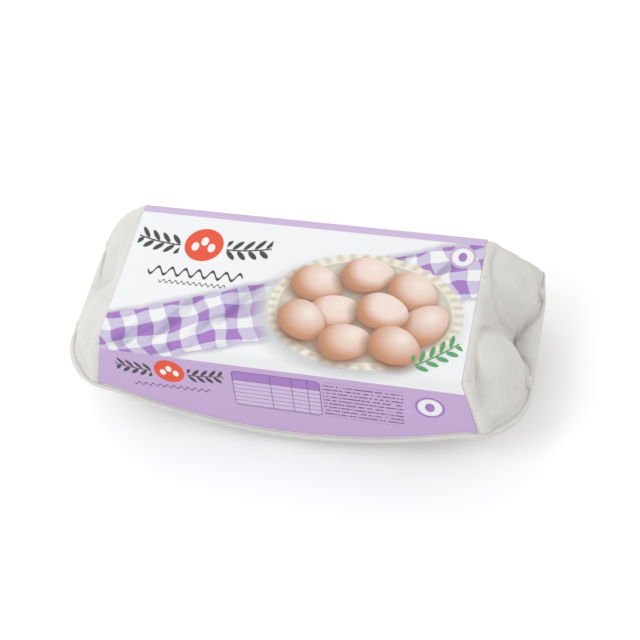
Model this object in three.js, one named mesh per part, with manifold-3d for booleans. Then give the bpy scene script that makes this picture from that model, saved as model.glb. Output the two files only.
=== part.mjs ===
// Shut carton of moulded pulp for ten eggs in two rows of five, with a paper label over its lid.
// Millimetres, +Z up. The front, with the curved closing edge, faces -Y and the hinge is at +Y.
// The origin is under the middle of the carton, on the surface that its feet stand on.

import * as THREE from 'three';
import { mergeVertices } from 'three/addons/utils/BufferGeometryUtils.js';
import Module from 'manifold-3d';

const wasm = await Module();
wasm.setup();

// Overall sizes
const HEIGHT = 70;
const LENGTH = 261;
const LID_DEPTH = 39.4;
const RIM_Z = HEIGHT - LID_DEPTH;

// Flat top of the lid, measured on the label
const TOP_HALF_WIDTH = 45;
const TOP_HALF_LENGTH = 100.8;
const FOLD_RADIUS = 2.5;
const FRONT_SLOPE = THREE.MathUtils.degToRad(11.5);
const BACK_SLOPE = THREE.MathUtils.degToRad(12.5);

// Where the end walls meet the rim, at the front and at the hinge, where they bulge
const END_FOOT_FRONT = 113;
const END_FOOT_BACK = 128;
const END_BULGE_BACK = 4;

// Closing edge: flat at the ends and the back, and dropping in a curve across the front
const FRONT_DROP = 20;
const DROP_HALF_LENGTH = 100;
const DROP_EASING_X = 92;
const SKIRT_INNER_Y = -49;
const CLOSING_GAP = 0.3;

// Rim flange of each half
const FLANGE_THICKNESS = 1.5;
const LIP_REACH = 1.2;
const FRONT_CORNER_RADIUS = 30;
const HINGE_Y = 55;
const HINGE_HALF_LENGTH = 128;
const END_EASING_Y = 34;

// Egg cells: five columns and two rows, set back from the front wall
const COLUMNS = 5;
const COLUMN_PITCH = 48.25;
const ROW_Y = [-21.9, 30.5];
const MIDDLE_Y = (ROW_Y[0] + ROW_Y[1]) / 2;

// Round ends of the lid over the four end cells
const DOME_X = ((COLUMNS - 1) / 2) * COLUMN_PITCH;
const DOME_RADIUS_X = 32;
const DOME_RADIUS_Y = 29.7;
const DOME_TOP_DEPTH = 1.9;

// Small lugs at the feet of the round ends, standing on the flange
const LUG_TOP_DEPTH = 31;
const LUG_WIDTH = 4.6;
const LUG_INNER_X = 122;
const LUG_OUTER_X = 129.6;
const LUG_Y = [-19.7, 36.8];

// Cups under the rim
const CUP_RADIUS = 24.2;
const FOOT_RADIUS = 10;
const TUB_DEPTH = 8;
const TUB_INSET = 4;
const TUB_TAPER = 0.955;
const TRAY_WALL_INNER_Y = -40;

// Paper label: over the front wall, the top and part of the back wall
const LABEL_THICKNESS = 0.5;
const LABEL_GAP = 0.3;
const LABEL_HALF_LENGTH = 97;
const LABEL_FLARE = 8.5;
const LABEL_MARGIN = 2.2;
const LABEL_BACK_DEPTH = 30;
const LID_INSET = LABEL_THICKNESS + LABEL_GAP;

// Facets of the round shapes
const FOLD_STEPS = 6;
const WALL_STEPS = 6;
const EDGE_STEPS = 40;
const CORNER_STEPS = 10;
const DOME_SEGMENTS = 40;
const DOME_RINGS = 9;
const CUP_SEGMENTS = 28;
const CUP_RINGS = 6;

// Every cutting solid reaches past the carton by this much
const PAST = 90;

// Solids from closed meshes and back

function solidOf(geometry) {
  const bare = geometry.clone();
  bare.deleteAttribute('normal');
  bare.deleteAttribute('uv');
  const merged = mergeVertices(bare, 1e-4);
  const mesh = new wasm.Mesh({
    numProp: 3,
    vertProperties: new Float32Array(merged.attributes.position.array),
    triVerts: new Uint32Array(merged.index.array),
  });
  return new wasm.Manifold(mesh);
}

function geometryOf(solid) {
  const mesh = solid.getMesh();
  const geometry = new THREE.BufferGeometry();
  geometry.setAttribute('position', new THREE.BufferAttribute(mesh.vertProperties, 3));
  geometry.setIndex(new THREE.BufferAttribute(mesh.triVerts, 1));
  geometry.computeVertexNormals();
  return geometry;
}

// A shape drawn in Y and Z, run along X from one end to the other
function alongX(shape, halfLength) {
  const geometry = new THREE.ExtrudeGeometry(shape, { depth: 2 * halfLength, bevelEnabled: false });
  geometry.translate(0, 0, -halfLength);
  geometry.rotateX(Math.PI / 2);
  geometry.rotateZ(Math.PI / 2);
  return geometry;
}

// A shape drawn in X and Z, run along Y
function alongY(shape, yFrom, yTo) {
  const geometry = new THREE.ExtrudeGeometry(shape, { depth: yTo - yFrom, bevelEnabled: false });
  geometry.rotateX(Math.PI / 2);
  geometry.translate(0, yTo, 0);
  return geometry;
}

// A shape drawn in plan, run upwards
function upwards(shape, zFrom, zTo) {
  const geometry = new THREE.ExtrudeGeometry(shape, { depth: zTo - zFrom, bevelEnabled: false });
  geometry.translate(0, 0, zFrom);
  return geometry;
}

function block(xFrom, xTo, yFrom, yTo, zFrom, zTo) {
  const geometry = new THREE.BoxGeometry(xTo - xFrom, yTo - yFrom, zTo - zFrom);
  geometry.translate((xFrom + xTo) / 2, (yFrom + yTo) / 2, (zFrom + zTo) / 2);
  return solidOf(geometry);
}

function joined(solids) {
  return solids.reduce((whole, solid) => whole.add(solid));
}

// Closing edge

// A parabola that runs out in a second one, so that the edge meets the flat rim without a kink
function parabolaDrop(x) {
  return FRONT_DROP * (1 - (x / DROP_HALF_LENGTH) ** 2);
}

const EASING_SLOPE = (2 * FRONT_DROP * DROP_EASING_X) / DROP_HALF_LENGTH ** 2;
const EASING_LENGTH = (2 * parabolaDrop(DROP_EASING_X)) / EASING_SLOPE;
const DROP_END = DROP_EASING_X + EASING_LENGTH;

function dropAt(x) {
  const reach = Math.min(Math.abs(x), DROP_END);
  if (reach < DROP_EASING_X) {
    return parabolaDrop(reach);
  }
  return parabolaDrop(DROP_EASING_X) * ((DROP_END - reach) / EASING_LENGTH) ** 2;
}

function stations(halfLength, steps) {
  return Array.from({ length: steps + 1 }, (_, i) => halfLength * ((2 * i) / steps - 1));
}

// Everything over the closing edge, lifted by a given amount, or everything under it
function closingSpace(lift, over) {
  const shape = new THREE.Shape();
  const far = over ? RIM_Z + PAST : RIM_Z - PAST;
  shape.moveTo(-LENGTH, far);
  shape.lineTo(-LENGTH, RIM_Z + lift);
  for (const x of stations(DROP_END, EDGE_STEPS)) {
    shape.lineTo(x, RIM_Z + lift - dropAt(x));
  }
  shape.lineTo(LENGTH, RIM_Z + lift);
  shape.lineTo(LENGTH, far);
  return shape;
}

// Section of the lid across its length

function foldCentre(side, slope) {
  const corner = TOP_HALF_WIDTH - FOLD_RADIUS * Math.tan((Math.PI / 2 - slope) / 2);
  return new THREE.Vector2(side * corner, HEIGHT - FOLD_RADIUS);
}

// Y of a sloping wall at a given depth under the top, moved outwards by a given amount
function wallY(side, slope, depth, outwards) {
  return side * (TOP_HALF_WIDTH + depth * Math.tan(slope) + outwards / Math.cos(slope));
}

// Points down a sloping wall, from just under its fold to a given depth
function downWall(side, slope, depth, outwards) {
  return Array.from({ length: WALL_STEPS }, (_, i) => {
    const down = FOLD_RADIUS + ((depth - FOLD_RADIUS) * (i + 1)) / WALL_STEPS;
    return new THREE.Vector2(wallY(side, slope, down, outwards), HEIGHT - down);
  });
}

// Points from the front wall's lower end over the top to the back wall's lower end
function overLid(frontDepth, backDepth, outwards) {
  const points = downWall(-1, FRONT_SLOPE, frontDepth, outwards).reverse();
  const radius = FOLD_RADIUS + outwards;
  const front = foldCentre(-1, FRONT_SLOPE);
  const back = foldCentre(1, BACK_SLOPE);
  const frontFold = new THREE.ArcCurve(front.x, front.y, radius, Math.PI - FRONT_SLOPE, Math.PI / 2, true);
  const backFold = new THREE.ArcCurve(back.x, back.y, radius, Math.PI / 2, BACK_SLOPE, true);
  points.push(...frontFold.getPoints(FOLD_STEPS), ...backFold.getPoints(FOLD_STEPS));
  points.push(...downWall(1, BACK_SLOPE, backDepth, outwards));
  return points;
}

// Half length of the lid's middle part at a point of its section
function endWallX(y, z) {
  const frontFoot = wallY(-1, FRONT_SLOPE, LID_DEPTH, 0);
  const across = THREE.MathUtils.clamp((y - frontFoot) / (HINGE_Y - frontFoot), 0, 1);
  const foot = THREE.MathUtils.lerp(END_FOOT_FRONT, END_FOOT_BACK, across);
  const down = THREE.MathUtils.clamp((HEIGHT - z) / LID_DEPTH, 0, 1);
  const bulge = across * END_BULGE_BACK * (27 / 4) * down ** 2 * (1 - down);
  return THREE.MathUtils.lerp(TOP_HALF_LENGTH, foot, down) + bulge;
}

function lidSection() {
  const points = overLid(LID_DEPTH + FRONT_DROP, LID_DEPTH, -LID_INSET);
  points.push(new THREE.Vector2(SKIRT_INNER_Y, RIM_Z));
  points.push(new THREE.Vector2(SKIRT_INNER_Y, RIM_Z - FRONT_DROP));
  return new THREE.Shape(points);
}

function lidMiddle() {
  const geometry = alongX(lidSection(), 1);
  const position = geometry.attributes.position;
  for (let i = 0; i < position.count; i += 1) {
    const reach = endWallX(position.getY(i), position.getZ(i));
    position.setX(i, Math.sign(position.getX(i)) * reach);
  }
  return solidOf(geometry);
}

// Round end over one end cell, kept inside the front and back walls
function dome(side, rowY) {
  const height = LID_DEPTH - DOME_TOP_DEPTH;
  const profile = [new THREE.Vector2(0, 0)];
  for (let i = 0; i <= DOME_RINGS; i += 1) {
    const angle = (i / DOME_RINGS) * (Math.PI / 2);
    profile.push(new THREE.Vector2(i === DOME_RINGS ? 0 : Math.cos(angle), height * Math.sin(angle)));
  }
  const geometry = new THREE.LatheGeometry(profile, DOME_SEGMENTS);
  geometry.rotateX(Math.PI / 2);
  geometry.scale(DOME_RADIUS_X, DOME_RADIUS_Y, 1);
  geometry.translate(side * DOME_X, rowY, RIM_Z);
  return solidOf(geometry);
}

function lug(side, y) {
  const ends = [side * LUG_INNER_X, side * LUG_OUTER_X];
  const top = HEIGHT - LUG_TOP_DEPTH;
  return block(Math.min(...ends), Math.max(...ends), y - LUG_WIDTH / 2, y + LUG_WIDTH / 2, RIM_Z, top);
}

// Plan outline of the rim: bowed front edge, round front corners, sharp corners at the hinge
function rimOutline(inset) {
  const cornerX = LENGTH / 2 - FRONT_CORNER_RADIUS;
  const cornerFront = wallY(-1, FRONT_SLOPE, LID_DEPTH + dropAt(cornerX), LIP_REACH);
  const cornerY = cornerFront + FRONT_CORNER_RADIUS;
  const radius = FRONT_CORNER_RADIUS - inset;
  const shape = new THREE.Shape();
  shape.moveTo(-HINGE_HALF_LENGTH + inset, HINGE_Y - inset);
  shape.lineTo(-LENGTH / 2 + inset, END_EASING_Y);
  const points = [];
  for (let i = 0; i < CORNER_STEPS; i += 1) {
    const angle = Math.PI + ((i / CORNER_STEPS) * Math.PI) / 2;
    points.push([cornerX - radius * Math.cos(angle), cornerY + radius * Math.sin(angle)]);
  }
  for (const [x, y] of points) {
    shape.lineTo(-x, y);
  }
  for (const x of stations(cornerX, EDGE_STEPS)) {
    shape.lineTo(x, wallY(-1, FRONT_SLOPE, LID_DEPTH + dropAt(x), LIP_REACH) + inset);
  }
  for (const [x, y] of points.reverse()) {
    shape.lineTo(x, y);
  }
  shape.lineTo(LENGTH / 2 - inset, END_EASING_Y);
  shape.lineTo(HINGE_HALF_LENGTH - inset, HINGE_Y - inset);
  return shape;
}

// Flange of one half, from a given height over the closing edge to another: a strip that follows
// the curve as far back as stripEndY, and a flat plate from plateStartY to the hinge
function flange(from, to, stripEndY, plateStartY) {
  const front = solidOf(alongY(closingSpace(from, true), -PAST, stripEndY))
    .subtract(solidOf(alongY(closingSpace(to, true), -PAST, stripEndY)));
  const rest = block(-LENGTH, LENGTH, plateStartY, PAST, RIM_Z + from, RIM_Z + to);
  const plan = solidOf(upwards(rimOutline(0), 0, HEIGHT));
  return front.add(rest).intersect(plan);
}

function lid() {
  const section = solidOf(alongX(lidSection(), LENGTH / 2));
  const domes = [];
  for (const side of [-1, 1]) {
    for (const rowY of ROW_Y) {
      domes.push(dome(side, rowY));
    }
  }
  const lugs = [];
  for (const side of [-1, 1]) {
    for (const y of LUG_Y) {
      lugs.push(lug(side, y));
    }
  }
  const rounded = joined(domes).intersect(section);
  const body = lidMiddle().add(rounded).add(joined(lugs));
  const overEdge = solidOf(alongY(closingSpace(0, true), -PAST, PAST));
  return body.intersect(overEdge).add(flange(0, FLANGE_THICKNESS, SKIRT_INNER_Y, SKIRT_INNER_Y));
}

// Cup for one egg, from its flat foot up to the rim
function cup(x, y) {
  const height = RIM_Z - CLOSING_GAP;
  const profile = [new THREE.Vector2(0, 0)];
  for (let i = 0; i <= CUP_RINGS; i += 1) {
    const angle = (i / CUP_RINGS) * (Math.PI / 2);
    const radius = FOOT_RADIUS + (CUP_RADIUS - FOOT_RADIUS) * Math.sin(angle);
    profile.push(new THREE.Vector2(radius, height * (1 - Math.cos(angle))));
  }
  profile.push(new THREE.Vector2(0, height));
  const geometry = new THREE.LatheGeometry(profile, CUP_SEGMENTS);
  geometry.rotateX(Math.PI / 2);
  geometry.translate(x, y, 0);
  return solidOf(geometry);
}

// Shallow tub that joins the cups just under the rim
function tub() {
  const top = RIM_Z - CLOSING_GAP;
  const geometry = upwards(rimOutline(TUB_INSET), top - TUB_DEPTH, top);
  const position = geometry.attributes.position;
  for (let i = 0; i < position.count; i += 1) {
    if (position.getZ(i) < top - TUB_DEPTH / 2) {
      position.setX(i, position.getX(i) * TUB_TAPER);
      position.setY(i, MIDDLE_Y + (position.getY(i) - MIDDLE_Y) * TUB_TAPER ** 2);
    }
  }
  return solidOf(geometry);
}

// Front wall of the tray behind the lid's skirt: it ends inside the curved strip below it and the
// flat plate above it, so that no two faces lie in one plane
function trayWall() {
  const inside = CLOSING_GAP + FLANGE_THICKNESS / 2;
  const front = SKIRT_INNER_Y + 2 * CLOSING_GAP;
  const back = TRAY_WALL_INNER_Y - CLOSING_GAP;
  const wall = block(-DROP_EASING_X, DROP_EASING_X, front, back, 0, RIM_Z - inside);
  return wall.intersect(solidOf(alongY(closingSpace(-inside, true), -PAST, 0)));
}

function tray() {
  const cups = [];
  for (let column = 0; column < COLUMNS; column += 1) {
    for (const rowY of ROW_Y) {
      cups.push(cup((column - (COLUMNS - 1) / 2) * COLUMN_PITCH, rowY));
    }
  }
  const skirtEndY = SKIRT_INNER_Y + CLOSING_GAP;
  const skirt = block(-LENGTH, LENGTH, -PAST, skirtEndY, -PAST, PAST);
  const underEdge = solidOf(alongY(closingSpace(-CLOSING_GAP, false), -PAST, PAST));
  const body = joined(cups).add(tub());
  const front = body.intersect(skirt).intersect(underEdge);
  const rim = flange(-CLOSING_GAP - FLANGE_THICKNESS, -CLOSING_GAP, TRAY_WALL_INNER_Y, skirtEndY);
  return body.subtract(skirt).add(front).add(trayWall()).add(rim);
}

// Label folded over the lid: its front panel widens downwards and ends in a curve
function label() {
  const outer = overLid(LID_DEPTH + FRONT_DROP, LABEL_BACK_DEPTH, 0);
  const inner = overLid(LID_DEPTH + FRONT_DROP, LABEL_BACK_DEPTH, -LABEL_THICKNESS);
  const sheet = solidOf(alongX(new THREE.Shape([...outer, ...inner.reverse()]), LENGTH / 2));
  const bottom = LABEL_HALF_LENGTH + LABEL_FLARE;
  const panel = new THREE.Shape();
  panel.moveTo(-LABEL_HALF_LENGTH, HEIGHT + PAST);
  panel.lineTo(-LABEL_HALF_LENGTH, HEIGHT - FOLD_RADIUS);
  for (const x of stations(bottom, EDGE_STEPS)) {
    panel.lineTo(x, RIM_Z + LABEL_MARGIN - dropAt(x));
  }
  panel.lineTo(LABEL_HALF_LENGTH, HEIGHT - FOLD_RADIUS);
  panel.lineTo(LABEL_HALF_LENGTH, HEIGHT + PAST);
  const front = solidOf(alongY(panel, -PAST, 0));
  const rest = block(-LABEL_HALF_LENGTH, LABEL_HALF_LENGTH, 0, PAST, 0, HEIGHT + PAST);
  return sheet.intersect(front.add(rest));
}

function named(name, solid, color, roughness) {
  const material = new THREE.MeshStandardMaterial({ color, roughness, metalness: 0 });
  const mesh = new THREE.Mesh(geometryOf(solid), material);
  mesh.name = name;
  return mesh;
}

// The carton's front and back edges reach unequally far from the middle of its top
const FRONT_REACH = wallY(-1, FRONT_SLOPE, LID_DEPTH + dropAt(0), LIP_REACH);
const carton = new THREE.Group();
carton.add(named('lid', lid(), 0xd9d6cd, 0.95));
carton.add(named('tray', tray(), 0xd2cfc6, 0.95));
carton.add(named('label', label(), 0xf0eff2, 0.55));
carton.position.y = -(FRONT_REACH + HINGE_Y) / 2;

export default carton;
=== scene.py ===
import math

import bmesh
import bpy
from bpy.props import FloatProperty, FloatVectorProperty, PointerProperty
from mathutils import Matrix, Vector, noise


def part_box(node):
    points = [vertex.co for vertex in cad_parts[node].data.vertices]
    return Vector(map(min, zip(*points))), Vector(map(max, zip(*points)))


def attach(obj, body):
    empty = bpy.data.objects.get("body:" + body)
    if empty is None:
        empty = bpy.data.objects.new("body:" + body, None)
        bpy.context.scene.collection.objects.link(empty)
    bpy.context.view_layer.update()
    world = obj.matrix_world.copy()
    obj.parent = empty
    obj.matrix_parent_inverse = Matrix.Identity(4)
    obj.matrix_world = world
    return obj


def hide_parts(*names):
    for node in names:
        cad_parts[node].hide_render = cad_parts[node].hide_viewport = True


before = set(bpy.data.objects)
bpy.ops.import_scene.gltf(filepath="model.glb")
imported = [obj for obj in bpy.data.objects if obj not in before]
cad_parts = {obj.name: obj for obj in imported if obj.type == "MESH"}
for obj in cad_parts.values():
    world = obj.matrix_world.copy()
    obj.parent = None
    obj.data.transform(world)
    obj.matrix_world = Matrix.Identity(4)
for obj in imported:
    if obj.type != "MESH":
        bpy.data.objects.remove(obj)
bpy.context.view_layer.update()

bl_info = {
    "name": "Pulp Egg Carton",
    "version": (1, 0, 0),
    "blender": (4, 5, 0),
    "location": "3D View > Sidebar > Carton",
    "description": "Models a shut moulded pulp egg carton with a printed paper label",
    "category": "Add Mesh",
}

MM = 0.001

# Places taken from the frame, in metres
LID_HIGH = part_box("lid")[1]
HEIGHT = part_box("label")[1].z

# From here on the carton is measured in millimetres, with x and y from the middle of the label's
# top, y towards the hinge and z from the floor. It is moved to the frame at the end
TOP_Z = HEIGHT / MM
HALF_LENGTH = LID_HIGH.x / MM

# Cells: five columns and two rows
COLUMNS = 5
ROW_Y = (-21.9, 30.5)

# The spine that all sections of the carton go out from, and half its length
MIDDLE_Y = sum(ROW_Y) / 2
SPINE_HALF = 60.0

# How far the round end of each row is shifted back, shortened and narrowed by the moulding,
# and how much shorter both are on the left
DOME_TRIMS = ((0.4, 1.0, 0.9), (3.0, 1.2, 0.0))
LEFT_TRIM = 1.2

# How softly a round end runs into the end wall on each side, and into the long walls
LEFT_BLEND = 5.0
RIGHT_BLEND = 1.6
LONG_WALL_BLEND = 2.0

# Valley between two round ends: its half width, its share of depth on the left and how much of
# it closes again down at the rim
VALLEY_HALF_WIDTH = 9.0
LEFT_VALLEY = 0.6
VALLEY_CLOSING = 0.7

# Makes the highest value of share ** 2 * (1 - share) one
BULGE_PEAK = 27 / 4

# Flat shoulder left between the right end's back round end and the back wall
SHOULDER = 5.5
SHOULDER_DEPTH = 13.0
SHOULDER_WIDENING = -1.5

# Roundness of the lid's corners in plan at its top, and how much it grows down to the rim
CORNER_BLEND = 3.0
BACK_WIDENING = 9.0
FRONT_WIDENING = 4.0

# Rim outline
DROP_HALF_LENGTH = 100.0
DROP_EASING_X = 92.0
END_EASING_Y = 34.0
BACK_CORNER_RADIUS = 3.0
SKIRT_INNER_Y = -49.0
TRAY_STRIP_INNER_Y = -41.0
RIM_INNER = 7.0
CLOSING_GAP = 0.3

# The ends are shaped from here on, along the carton
END_FROM = 95.0
END_OVER = 20.0

# Facets
EDGE_STEPS = 100
CORNER_STEPS = 40
BACK_CORNER_STEPS = 8
RIM_COLUMNS = 840
WALL_ROWS = 64
TOP_ROWS = 5

# Points closer than this are one, and edges shorter than this are none
WELD_GAP = 0.0005
TINY_EDGE = 0.0001

# How often the meeting of a spoke and the end wall is worked out again from the last result
END_PASSES = 5


def sizes():
    return bpy.context.scene.carton_sizes


def colours():
    return bpy.context.scene.carton_colours


# Lengths in metres: what each one is and its default
LENGTHS = {
    "lid_depth": ("From the lid's flat rim up to its top", 0.0394),
    "front_drop": ("How far the closing edge drops in the middle of the front", 0.020),
    "top_half_width": ("Half the width of the flat top", 0.045),
    "top_half_length": ("Half the length of the flat top", 0.1008),
    "fold_radius": ("Radius of the long folds of the label", 0.0025),
    "end_foot_front": ("Where an end wall meets the rim at the front", 0.113),
    "end_foot_back": ("Where an end wall meets the rim at the hinge", 0.128),
    "end_bulge": ("How far the end walls bulge at the hinge", 0.004),
    "valley": ("Depth of the valley between two round ends", 0.0095),
    "flange": ("Thickness of the rim flange of each half", 0.0015),
    "lip_reach": ("How far the flange stands out from the front wall", 0.0012),
    "corner_radius": ("Radius of the rim's front corners in plan", 0.030),
    "hinge_y": ("From the middle of the top back to the hinge", 0.055),
    "hinge_half_length": ("Half the length of the rim at the hinge", 0.128),
    "cell_pitch": ("Distance between the columns of cells", 0.04825),
    "dome_x": ("Half axis of a round end along the carton", 0.032),
    "dome_y": ("Half axis of a round end across the carton", 0.0297),
    "dome_top": ("How far a round end's top lies under the lid's top", 0.0019),
    "label_half_length": ("Half the length of the label on the top", 0.097),
    "label_flare": ("How much further the label reaches at the closing edge", 0.0085),
    "label_margin": ("From the closing edge up to the label", 0.0022),
    "label_back": ("How far the label reaches down the back", 0.030),
    "label_thickness": ("Thickness of the label's paper", 0.0003),
    "lid_inset": ("From the label's outer face in to the lid", 0.00035),
    "cup_radius": ("Radius of a cup at the rim", 0.0242),
    "foot_radius": ("Radius of the flat foot of a cup", 0.010),
}

# Slopes away from upright, in degrees
SLOPES = {"front_slope": 11.5, "back_slope": 12.5}

# Range of a size, as a share of its default
SMALLEST = 0.5
LARGEST = 1.5


def shown_name(name):
    return name.replace("_", " ").title()


def size_field(name, description, default, unit="LENGTH", subtype="DISTANCE"):
    return FloatProperty(
        name=shown_name(name), description=description, default=default,
        min=default * SMALLEST, max=default * LARGEST, unit=unit, subtype=subtype)


def slope_field(name, degrees):
    about = "Slope of the wall away from upright"
    return size_field(name, about, math.radians(degrees), "ROTATION", "ANGLE")


class CartonSizes(bpy.types.PropertyGroup):
    """Sizes of the carton"""

    __annotations__ = {name: size_field(name, *about) for name, about in LENGTHS.items()}
    __annotations__.update((name, slope_field(name, slope)) for name, slope in SLOPES.items())


# White paper in the photograph is this bright on the label's top and has this reflectance
WHITE_SHOWN = 240
WHITE_REFLECTS = 0.76

# Tone of the pulp and of each ink, as bright as they show on the label's top
INKS = {
    "pulp": ("Moulded pulp of the lid and the tray", 226, 223, 218),
    "paper": ("Bare paper of the label", 241, 240, 240),
    "lilac": ("Back band of the label", 206, 183, 216),
    # The front band's lilac is the back band's darkened, as painted shade of the front face
    "front_lilac": ("Front band of the label", 199, 171, 212),
    "check": ("Single stripes of the gingham", 206, 196, 220),
    "violet": ("Crossings of the gingham and rings", 168, 124, 196),
    "coral": ("Round emblems", 232, 82, 48),
    "slate": ("Dark ornaments", 66, 66, 70),
    "purple": ("Table rules and fine print lines", 104, 74, 124),
    "cream": ("Round dish", 240, 231, 214),
    "egg_light": ("Lit side of the printed eggs", 243, 224, 212),
    "egg_dark": ("Shaded side of the printed eggs", 204, 146, 112),
    "leaf": ("Small green branch", 92, 160, 104),
}


def linear(shown):
    share = shown / 255
    return share / 12.92 if share < 0.04045 else ((share + 0.055) / 1.055) ** 2.4


def ink(*shown):
    """Reflectance of an ink, from its colour as the photograph shows it on the label's top"""
    return tuple(linear(channel) / linear(WHITE_SHOWN) * WHITE_REFLECTS for channel in shown)


def colour_field(name, description, *shown):
    return FloatVectorProperty(
        name=shown_name(name), description=description, default=ink(*shown), size=3,
        min=0.0, max=1.0, subtype="COLOR")


class CartonColours(bpy.types.PropertyGroup):
    """Colours of the pulp and of the print"""

    __annotations__ = {name: colour_field(name, *about) for name, about in INKS.items()}


class Shape:
    """The carton's form, worked out from its sizes, in millimetres"""

    def __init__(self):
        owner = sizes()
        for name in LENGTHS:
            setattr(self, name, getattr(owner, name) / MM)
        self.front_tan = math.tan(owner.front_slope)
        self.back_tan = math.tan(owner.back_slope)
        self.front_cos = math.cos(owner.front_slope)
        self.back_cos = math.cos(owner.back_slope)
        self.rim_z = TOP_Z - self.lid_depth
        self.dome_height = self.lid_depth - self.dome_top
        self.dome_centre_x = self.cell_pitch * (COLUMNS - 1) / 2
        self.centre_y = LID_HIGH.y / MM - self.hinge_y

    def drop(self, x):
        """How far the closing edge lies under the flat rim"""
        reach = abs(x)
        start = self.front_drop * (1 - (DROP_EASING_X / DROP_HALF_LENGTH) ** 2)
        if reach < DROP_EASING_X:
            return self.front_drop * (1 - (reach / DROP_HALF_LENGTH) ** 2)
        slope = 2 * self.front_drop * DROP_EASING_X / DROP_HALF_LENGTH ** 2
        left = max(0.0, 1 - (reach - DROP_EASING_X) * slope / (2 * start))
        return start * left ** 2

    def front_y(self, depth, outwards=0.0):
        return -(self.top_half_width + depth * self.front_tan + outwards / self.front_cos)

    def back_y(self, depth, outwards=0.0):
        return self.top_half_width + depth * self.back_tan + outwards / self.back_cos

    def end_x(self, y, depth, side):
        """Half length of the lid between its round ends"""
        foot_y = self.front_y(self.lid_depth)
        across = clamp((y - foot_y) / (self.hinge_y - foot_y))
        foot = self.end_foot_front + across * (self.end_foot_back - self.end_foot_front)
        down = clamp(depth / self.lid_depth)
        bulge = across * self.end_bulge * BULGE_PEAK * down ** 2 * (1 - down)
        deepest = self.valley * (LEFT_VALLEY if side < 0 else 1.0)
        closing = 1 - VALLEY_CLOSING * smooth(2 * down - 1)
        middle = math.exp(-((y - MIDDLE_Y) / VALLEY_HALF_WIDTH) ** 2)
        valley = deepest * smooth(down) * closing * middle
        return self.top_half_length + down * (foot - self.top_half_length) + bulge - valley

    def front_edge_y(self, x):
        return self.front_y(self.lid_depth + self.drop(x), self.lip_reach)

    def rim_outline(self):
        """Points round the rim in plan, evenly spaced, from the middle of the front"""
        corner_x = HALF_LENGTH - self.corner_radius
        corner_y = self.front_edge_y(corner_x) + self.corner_radius
        half = []
        for i in range(EDGE_STEPS):
            x = corner_x * i / EDGE_STEPS
            half.append((x, self.front_edge_y(x)))
        half += arc(corner_x, corner_y, self.corner_radius, -90, 0, CORNER_STEPS)
        half.append((HALF_LENGTH, END_EASING_Y))
        back = BACK_CORNER_RADIUS
        half += arc(self.hinge_half_length - back, self.hinge_y - back, back, 0, 90, BACK_CORNER_STEPS)
        half.append((0.0, self.hinge_y))
        mirrored = [(-x, y) for x, y in reversed(half[1:-1])]
        return evenly_spaced(half + mirrored, RIM_COLUMNS)

    def wall_reach(self, start, way, depth):
        """Distance from the spine out to the lid's wall at a depth under the top"""
        long_wall = math.inf
        if way.y < -1e-6:
            long_wall = (self.front_y(depth, -self.lid_inset) - start.y) / way.y
        elif way.y > 1e-6:
            long_wall = (self.back_y(depth, -self.lid_inset) - start.y) / way.y
        reach = long_wall
        at_shoulder = way.x > 0 and way.y > 0
        if abs(way.x) > 1e-6:
            end = 0.0
            for _ in range(END_PASSES):
                end = (self.end_x(start.y + end * way.y, depth, way.x) - abs(start.x)) / abs(way.x)
            widening = SHOULDER_WIDENING if at_shoulder else BACK_WIDENING
            if way.y < 0:
                widening = FRONT_WIDENING
            corner = CORNER_BLEND + widening * clamp(depth / self.lid_depth)
            reach = smooth_min(long_wall, end, corner)
        blend = LEFT_BLEND if way.x < 0 else RIGHT_BLEND
        for row in range(len(ROW_Y)):
            dome = self.dome_reach(start, way, depth, row)
            if dome > 0:
                limit = long_wall
                if at_shoulder:
                    limit -= SHOULDER * smooth(depth / SHOULDER_DEPTH)
                reach = smooth_max(reach, smooth_min(dome, limit, LONG_WALL_BLEND), blend)
        return min(reach, long_wall)

    def dome_reach(self, start, way, depth, row):
        """Distance from the spine out to one round end, or nothing if the line misses it"""
        height = self.lid_depth - depth
        if height >= self.dome_height:
            return 0.0
        share = math.sqrt(1 - (max(height, 0.0) / self.dome_height) ** 2)
        centre = math.copysign(self.dome_centre_x, way.x)
        lean, trim_x, trim_y = DOME_TRIMS[row]
        if way.x < 0:
            trim_x += LEFT_TRIM
        across_x = (self.dome_x - trim_x) * share
        across_y = (self.dome_y - trim_y) * share
        px = (start.x - centre) / across_x
        py = (start.y - ROW_Y[row] - lean) / across_y
        dx = way.x / across_x
        dy = way.y / across_y
        a = dx * dx + dy * dy
        b = px * dx + py * dy
        c = px * px + py * py - 1
        inside = b * b - a * c
        return (-b + math.sqrt(inside)) / a if inside > 0 else 0.0


def clamp(share):
    return min(max(share, 0.0), 1.0)


def clamp_to(value, limit):
    return min(max(value, -limit), limit)


def smooth(share):
    share = clamp(share)
    return share * share * (3 - 2 * share)


def smooth_min(a, b, blend):
    near = max(blend - abs(a - b), 0.0) / blend
    return min(a, b) - near * near * blend / 4


def smooth_max(a, b, blend):
    return -smooth_min(-a, -b, blend)


def arc(x, y, radius, from_degrees, to_degrees, steps):
    points = []
    for i in range(steps + 1):
        turn = math.radians(from_degrees + (to_degrees - from_degrees) * i / steps)
        points.append((x + radius * math.cos(turn), y + radius * math.sin(turn)))
    return points


def evenly_spaced(points, count):
    """The same closed outline with a given number of points, all equally far apart"""
    closed = [Vector(p) for p in points] + [Vector(points[0])]
    lengths = [0.0]
    for a, b in zip(closed, closed[1:]):
        lengths.append(lengths[-1] + (b - a).length)
    result = []
    span = 0
    for i in range(count):
        target = lengths[-1] * i / count
        while lengths[span + 1] < target:
            span += 1
        share = (target - lengths[span]) / (lengths[span + 1] - lengths[span])
        result.append(closed[span].lerp(closed[span + 1], share))
    return result


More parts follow.
